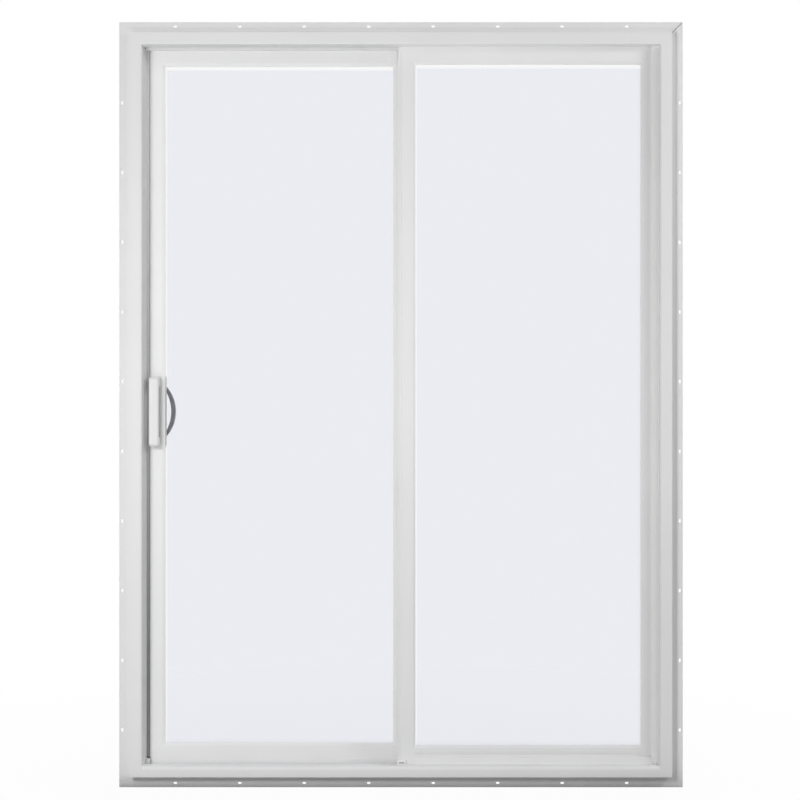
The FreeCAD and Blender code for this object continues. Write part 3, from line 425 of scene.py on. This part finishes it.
def weep_hood(name, middle, front, back, width, height):
    """A rounded hood on the sill's nose, open towards outdoors."""
    shape = bmesh.new()
    add_block(shape, (middle - width / 2, front, nose_top), (middle + width / 2, back, nose_top + height))
    eased = [edge for edge in shape.edges
             if all(vert.co.y < back - EDGE_TOLERANCE for vert in edge.verts)
             and any(vert.co.z > nose_top + EDGE_TOLERANCE for vert in edge.verts)]
    bmesh.ops.bevel(shape, geom=eased, offset=HOOD_ROUND, segments=3, profile=0.5, affect="EDGES",
                    material=-1)
    bmesh.ops.recalc_face_normals(shape, faces=shape.faces)
    face = min(shape.faces, key=lambda item: item.calc_center_median().y)
    # The sunken face takes the grey of the painted shade.
    sink(shape, face, HOOD_WALL, Vector((0, MOUTH_DEPTH, 0))).material_index = 1
    add_piece(name, shape, [moulded, mouth_shade_grey], "frame")


weep_hood("meeting_weep_hood", stile_corner.x + MEETING_HOOD_INSET, stile_corner.y - MEETING_HOOD_REACH,
          stile_corner.y - STILE_CLEARANCE, **MEETING_HOOD)
weep_hood("corner_weep_hood", jamb_corner.x + CORNER_HOOD_INSET, stop_corner.y - CORNER_HOOD_REACH,
          stop_corner.y, **CORNER_HOOD)
print("two weep hoods on the sill's nose, at", round(nose_top, 1), "mm")

# %% [markdown]
# ## Corner key cover
# Where the slider's top rail meets its meeting stile, a moulded cover hides the screw of the corner key.
# It is a thin plate that stays behind the interlock, so that it passes the fixed panel when the door
# opens. Two bevels make it from a block: a large one on the four edges across, for the round corners, and
# then a small one round the front.

# %% Corner key cover
COVER_ON_RAIL, COVER_ON_STILE = 12.0, 13.5
COVER_FROM_BOTTOM, COVER_FROM_TOP = 5.0, 10.0
COVER_THICK, COVER_CORNER, COVER_RIM = 1.7, 7.0, 1.0
rail_low, rail_high = corners("slider_top_rail")
slider_face = rail_low.y
cover_front = slider_face - COVER_THICK
cover_middle = slider_face - COVER_THICK / 2
shape = bmesh.new()
add_block(shape, (rail_high.x - COVER_ON_RAIL, cover_front, rail_low.z + COVER_FROM_BOTTOM),
          (rail_high.x + COVER_ON_STILE, slider_face, rail_high.z - COVER_FROM_TOP))
across = [edge for edge in shape.edges
          if abs(edge.verts[0].co.y - edge.verts[1].co.y) > COVER_THICK / 2]
bmesh.ops.bevel(shape, geom=across, offset=COVER_CORNER, segments=5, profile=0.5, affect="EDGES",
                material=-1)
rim = [edge for edge in shape.edges if all(vert.co.y < cover_middle for vert in edge.verts)]
bmesh.ops.bevel(shape, geom=rim, offset=COVER_RIM, segments=2, profile=0.5, affect="EDGES", material=-1)
add_piece("corner_key_cover", shape, [moulded], "slider")
print("cover in front of the slider's face at", round(slider_face, 1), "mm")

# %% [markdown]
# ## Screws
# The plates and the track are held by pan-head screws. The shafts are hidden, so only the heads are made:
# a cone with a flat top, which is sunk for the drive. Each screw could be a piece of its own, but one
# shape for each row of screws keeps the piece count low.

# %% Screws
HEAD_RADIUS, TOP_RADIUS, HEAD_RISE = 3.6, 2.9, 1.3
DRIVE_RADIUS, DRIVE_DEPTH = 1.5, 0.9
PLATE_SCREW_REACH, KEEPER_SCREW_REACH = 90.0, 62.0
TRACK_SCREW_INSET, TRACK_FLANGE = 2.9, 1.5
TRACK_SCREW_PLACES = range(-600, 601, 300)


def screw_row(name, places, way, body):
    """Screw heads at some places, all facing along one direction."""
    shape = bmesh.new()
    way = Vector(way)
    turn = way.to_track_quat("Z", "Y").to_matrix().to_4x4()
    for place in places:
        seat = Matrix.Translation(Vector(place) + way * HEAD_RISE / 2) @ turn
        made = bmesh.ops.create_cone(shape, cap_ends=True, segments=20, radius1=HEAD_RADIUS,
                                     radius2=TOP_RADIUS, depth=HEAD_RISE, matrix=seat)["verts"]
        faces = {face for vert in made for face in vert.link_faces}
        top_face = max(faces, key=lambda face: face.calc_center_median().dot(way))
        sink(shape, top_face, TOP_RADIUS - DRIVE_RADIUS, -way * DRIVE_DEPTH)
    add_piece(name, shape, [zinc], body)


plate_low, plate_high = corners("room_handle_plate")
plate_middle = (plate_low + plate_high) / 2
screw_row("room_plate_screws", [(plate_middle.x, plate_high.y, plate_middle.z + side * PLATE_SCREW_REACH)
                                for side in (-1, 1)], Y, "slider")
keeper_low, keeper_high = corners("lock_keeper")
keeper_middle = (keeper_low + keeper_high) / 2
screw_row("keeper_screws", [(keeper_high.x, keeper_middle.y, keeper_middle.z + side * KEEPER_SCREW_REACH)
                            for side in (-1, 1)], X, "frame")
track_low, track_high = corners("roller_track")
track_row, track_seat = track_high.y - TRACK_SCREW_INSET, track_low.z + TRACK_FLANGE
screw_row("track_screws", [(x, track_row, track_seat) for x in TRACK_SCREW_PLACES], Z, "frame")
print("screws in the room-side plate, the keeper and the track")

# %% [markdown]
# ## Pile yarn
# Wherever the slider runs past the frame, a brush of grey polypropylene yarn on a woven backing closes
# the gap. The grey darkens towards the bottom as painted shade, for the shade that deepens down the
# narrow gap. The height on the door mixes a light grey at the top and a dark one near the sill, and a
# fine noise shows the tufts.

# %% Pile yarn
# Painted shade: the yarn goes from a light grey high up to a dark grey near the sill.
SHADE_GREY_LOW, GREY_HIGH = "#8A8B8C", "#F4F4F5"
FULL_SHADE_HEIGHT, NO_SHADE_HEIGHT = 300 * MM, 1900 * MM
TUFT, TUFT_DEPTH, TUFT_STRENGTH, TUFT_SHARE = 0.5 * MM, 0.2 * MM, 0.6, 0.2


def pile_yarn():
    """Light grey yarn, matt, with painted shade that darkens it towards the sill."""
    material, tree, shader = new_material("woven_grey_pile", Roughness=0.9)
    place = add_node(tree, "ShaderNodeTexCoord").outputs["Object"]
    axes = add_node(tree, "ShaderNodeSeparateXYZ", {"Vector": place})
    height = add_node(tree, "ShaderNodeMapRange", {"Value": axes.outputs["Z"]},
                      {"From Min": FULL_SHADE_HEIGHT, "From Max": NO_SHADE_HEIGHT})
    tuft = add_node(tree, "ShaderNodeTexNoise", {"Vector": place}, {"Scale": 1 / TUFT, "Detail": 3.0})
    unshaded_share = add_node(tree, "ShaderNodeMath", {0: tuft.outputs["Fac"], 2: height.outputs[0]},
                     {1: TUFT_SHARE}, operation="MULTIPLY_ADD")
    tint = add_node(tree, "ShaderNodeMix", {"Factor": unshaded_share.outputs[0]},
                    {"A": linear(SHADE_GREY_LOW), "B": linear(GREY_HIGH)}, data_type="RGBA")
    tree.links.new(tint.outputs["Result"], shader.inputs["Base Color"])
    relief = add_node(tree, "ShaderNodeBump", {"Height": tuft.outputs["Fac"]},
                      {"Strength": TUFT_STRENGTH, "Distance": TUFT_DEPTH})
    tree.links.new(relief.outputs[0], shader.inputs["Normal"])
    return material


yarn = pile_yarn()
print("yarn:", yarn.name)

# %% [markdown]
# ## Weather strips
# Two strips stand on the lock jamb and press on the lock stile, and two hang in the head's channel,
# before and behind the slider. Hair would show each fibre, but it would take many thousand of them, so a
# strip is a fine grid whose points are pushed in by chance, which makes the brush's uneven top, and whose
# faces are then extruded down to the backing.

# %% Weather strips
PILE_STEP, PILE_THICK, PILE_UNEVEN = 4.0, 4.0, 0.12
JAMB_PILE_INSETS, JAMB_PILE_RISES = (3.5, 4.0), (7.4, 6.4)
JAMB_PILE_FROM_SILL, JAMB_PILE_FROM_TOP = 3.0, 5.0
HEAD_PILE_RISE, HEAD_PILE_LIFT, HEAD_PILE_END, CHANNEL_ROOM = 4.6, 5.0, 3.0, 5.5
BACK_Y = (0, -1, 0)


def pile_strip(name, start, length, rise, axes, seed):
    """A brush from start, running along the first axis, with the yarn standing along the third."""
    chance = random.Random(seed)
    shape = bmesh.new()
    bmesh.ops.create_grid(shape, x_segments=round(length / PILE_STEP), y_segments=3, size=0.5)
    bmesh.ops.scale(shape, vec=(length, PILE_THICK, 1), verts=shape.verts)
    bmesh.ops.translate(shape, vec=(length / 2, 0, rise), verts=shape.verts)
    for vert in shape.verts:
        vert.co.z -= chance.uniform(0.0, PILE_UNEVEN) * rise
    grown = bmesh.ops.extrude_face_region(shape, geom=shape.faces[:])["geom"]
    for vert in [item for item in grown if isinstance(item, bmesh.types.BMVert)]:
        vert.co.z = 0.0
    # The strip's axes and its start are the columns of the matrix that puts it in place.
    place = Matrix([[axis[i] for axis in axes] + [start[i]] for i in range(3)] + [[0, 0, 0, 1]])
    bmesh.ops.transform(shape, matrix=place, verts=shape.verts)
    add_piece(name, shape, [yarn], "frame")


stile_low, stile_high = corners("slider_lock_stile")
head_low, head_high = corners("head")
foot = corners("sill")[1].z + JAMB_PILE_FROM_SILL
tall = stile_high.z - JAMB_PILE_FROM_TOP - foot
outdoor_y, room_y = stile_low.y + JAMB_PILE_INSETS[0], stile_high.y - JAMB_PILE_INSETS[1]
pile_strip("pile_lock_jamb_outdoor", (head_low.x, outdoor_y, foot), tall, JAMB_PILE_RISES[0],
           (Z, Y, X), seed=1)
pile_strip("pile_lock_jamb_room", (head_low.x, room_y, foot), tall, JAMB_PILE_RISES[1],
           (Z, Y, X), seed=2)
begin, lift = head_low.x + HEAD_PILE_END, head_low.z + HEAD_PILE_LIFT
wide = head_high.x - HEAD_PILE_END - begin
outdoor_wall, room_wall = stile_low.y - CHANNEL_ROOM, stile_high.y + CHANNEL_ROOM
pile_strip("pile_head_outdoor", (begin, outdoor_wall, lift), wide, HEAD_PILE_RISE,
           (X, Z, Y), seed=3)
pile_strip("pile_head_room", (begin, room_wall, lift), wide, HEAD_PILE_RISE,
           (X, Z, BACK_Y), seed=4)
print("pile strips", round(tall), "mm tall on the lock jamb and", round(wide), "mm wide in the head")

# %% [markdown]
# ## World
# The door stands on plain white. A white backdrop would need lamps of its own, which would spill on the
# door, so the world does it: it is white to the camera, to reflections and to the rays that pass the
# glass, and gives a softer light from all round to everything else.

# %% World
AMBIENT = 0.28


def seen_directly(tree):
    """One for rays from the camera, a mirror or a pane, nought for the rest."""
    path = add_node(tree, "ShaderNodeLightPath")
    mirrored = add_node(tree, "ShaderNodeMath",
                        {0: path.outputs["Is Camera Ray"], 1: path.outputs["Is Glossy Ray"]},
                        operation="MAXIMUM")
    return add_node(tree, "ShaderNodeMath",
                    {0: mirrored.outputs[0], 1: path.outputs["Is Transmission Ray"]},
                    operation="MAXIMUM").outputs[0]


world = bpy.data.worlds.new("studio")
bpy.context.scene.world = world
world.use_nodes = True
tree = world.node_tree
strength = add_node(tree, "ShaderNodeMapRange", {"Value": seen_directly(tree)},
                    {"To Min": AMBIENT, "To Max": 1.0})
background = tree.nodes["Background"]
background.inputs["Color"].default_value = (1, 1, 1, 1)
tree.links.new(strength.outputs[0], background.inputs["Strength"])
print("soft light of", AMBIENT, "from all round")

# %% [markdown]
# ## Floor
# The floor is pale paper that keeps a faint shadow round the door. A plain sheet would end in a horizon
# line, so its own glow grows with the distance from the door until it is as white as the world.

# %% Floor
FLOOR_SIZE = 14.0
PAPER = "#B8B8B8"
GLOW_NEAR, GLOW_FAR = 0.97, 1.0
FADE_START, FADE_END = 0.8, 2.0


def stage_sheet(name, place, finish):
    """A flat sheet of one by one metre that a matrix puts in place and brings to size."""
    shape = bmesh.new()
    bmesh.ops.create_grid(shape, x_segments=1, y_segments=1, size=0.5, matrix=place)
    mesh = bpy.data.meshes.new(name)
    shape.to_mesh(mesh)
    shape.free()
    mesh.materials.append(finish)
    sheet = bpy.data.objects.new(name, mesh)
    bpy.context.collection.objects.link(sheet)
    return sheet


paper, tree, shader = new_material("white_paper", Roughness=0.9)
shader.inputs["Base Color"].default_value = linear(PAPER)
glow = add_node(tree, "ShaderNodeEmission", values={"Strength": 1.0})
place = add_node(tree, "ShaderNodeTexCoord").outputs["Object"]
reach = add_node(tree, "ShaderNodeVectorMath", {0: place}, operation="LENGTH")
fade = add_node(tree, "ShaderNodeMapRange", {"Value": reach.outputs["Value"]},
                {"From Min": FADE_START, "From Max": FADE_END, "To Min": GLOW_NEAR, "To Max": GLOW_FAR})
share = add_node(tree, "ShaderNodeMath", {0: seen_directly(tree), 1: fade.outputs[0]}, operation="MULTIPLY")
mix = add_node(tree, "ShaderNodeMixShader",
               {0: share.outputs[0], 1: shader.outputs[0], 2: glow.outputs[0]})
tree.links.new(mix.outputs[0], tree.nodes["Material Output"].inputs["Surface"])
flat = Matrix.Translation((0, 0, cad_low.z)) @ Matrix.Diagonal((FLOOR_SIZE, FLOOR_SIZE, 1.0, 1.0))
floor = stage_sheet("floor", flat, paper)
floor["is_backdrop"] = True
print("floor at", round(cad_low.z, 4))

# %% [markdown]
# ## Lamps
# The upper left is lightest and the tone falls off to the lower right, while the recesses stay pale, so
# much of the light is the soft light of the world. The main lamp hangs close in front, left of the
# middle, where the frame does not shade the slider that lies deep in it, and a low one fills the sill. A
# lamp far to the right grazes the front: it lights the left reveal, and the right jamb keeps it off the
# fixed stile behind. One more lights the room side, and a narrow strip near the floor lights the
# undersides of the head and the top rails. One large lamp would be simpler, but it would light all of the
# door alike.

# %% Lamps
MIDDLE = (0.0, 0.0, (cad_low.z + cad_high.z) / 2)
STRIP_LENGTH, STRIP_WIDTH, STRIP_SPREAD = 1.4, 0.08, 30.0
STRIP_TARGET = (0.0, 0.0, 2.0)


def area_lamp(name, place, target, size, power):
    """A round soft lamp, in metres and watts, that camera, mirrors and panes do not show."""
    lamp = bpy.data.lights.new(name, "AREA")
    lamp.shape = "DISK"
    lamp.size = size
    lamp.energy = power
    holder = bpy.data.objects.new(name, lamp)
    holder.location = place
    holder.rotation_euler = (Vector(target) - Vector(place)).to_track_quat("-Z", "Y").to_euler()
    holder.visible_camera = False
    holder.visible_glossy = False
    holder.visible_transmission = False
    bpy.context.collection.objects.link(holder)
    return lamp


area_lamp("key", place=(-1.1, -2.5, 1.5), target=MIDDLE, size=0.8, power=29)
area_lamp("low_fill", place=(-0.8, -2.4, 0.4), target=MIDDLE, size=0.8, power=10)
area_lamp("grazing_right", place=(2.6, -1.1, 2.5), target=MIDDLE, size=0.6, power=24)
area_lamp("room_side", place=(1.0, 3.0, 2.2), target=MIDDLE, size=1.2, power=75)
strip = area_lamp("soffit_strip", place=(0.0, -0.3, 0.03), target=STRIP_TARGET, size=STRIP_LENGTH,
                  power=0.42)
strip.shape = "RECTANGLE"
strip.size_y = STRIP_WIDTH
strip.spread = math.radians(STRIP_SPREAD)
print("five lamps placed")

# %% [markdown]
# ## Net in front of the bottom fin
# A photographer holds back light with a net, a frame of thin gauze. Here one stands in front of the
# bottom fin, so that the low lamp does not fill the shade under the sill's nose. A weaker lamp would
# darken the sill too. Only light meets the net: the camera does not see it.

# %% Net
NET_Y, NET_TOP, NET_MARGIN, NET_OPEN = -0.045, 0.016, 0.02, 0.35
gauze, tree, _ = new_material("black_gauze")
gaps = add_node(tree, "ShaderNodeBsdfTransparent", values={"Color": (NET_OPEN, NET_OPEN, NET_OPEN, 1.0)})
tree.links.new(gaps.outputs[0], tree.nodes["Material Output"].inputs["Surface"])
size = (cad_high.x - cad_low.x + NET_MARGIN, NET_TOP - cad_low.z)
upright = Matrix.Translation((0, NET_Y, (NET_TOP + cad_low.z) / 2)) @ Matrix.Rotation(math.pi / 2, 4, "X")
net = stage_sheet("net", upright @ Matrix.Diagonal((*size, 1.0, 1.0)), gauze)
net.visible_camera = False
net.visible_glossy = False
net.visible_transmission = False
net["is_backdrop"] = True
print("net", [round(side, 3) for side in size])

# %% [markdown]
# ## Camera
# The photograph looks straight at the door. The frame's front face is 1470 mm wide and 542.5 of 800
# pixels wide, which gives the scale, and the depth seen in the reveals gives a camera about 4.2 m away.
# The lens follows from both. The door is a little off the picture's middle, and a shift of the lens moves
# it there: turning the camera would make its edges converge.

# %% Camera
PHOTO_PIXELS = 800
PIXEL = 2.71 * MM
DISTANCE = 4.2
DOOR_MIDDLE_PIXEL = (401.0, 404.7)
SENSOR = 36.0
frame_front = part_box("head")[0].y
lens_data = bpy.data.cameras.new("camera")
lens_data.sensor_width = SENSOR
lens_data.lens = SENSOR * DISTANCE / (PHOTO_PIXELS * PIXEL)
lens_data.shift_x = (PHOTO_PIXELS / 2 - DOOR_MIDDLE_PIXEL[0]) / PHOTO_PIXELS
lens_data.shift_y = (DOOR_MIDDLE_PIXEL[1] - PHOTO_PIXELS / 2) / PHOTO_PIXELS
camera = bpy.data.objects.new("camera", lens_data)
camera.location = (0.0, frame_front - DISTANCE, MIDDLE[2])
camera.rotation_euler = (math.pi / 2, 0, 0)
bpy.context.collection.objects.link(camera)
bpy.context.scene.camera = camera
bpy.context.scene.view_settings.view_transform = "Standard"
print("lens", round(lens_data.lens, 1), "mm")

# %% [markdown]
# ## Sizes
# The size of the dressed door is measured over all its shown pieces and printed. The dressed door has to
# stay as large as the imported one.

# %% Print the dressed size
low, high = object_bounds()
print("dressed door", [round(side, 3) for side in high - low], "m")
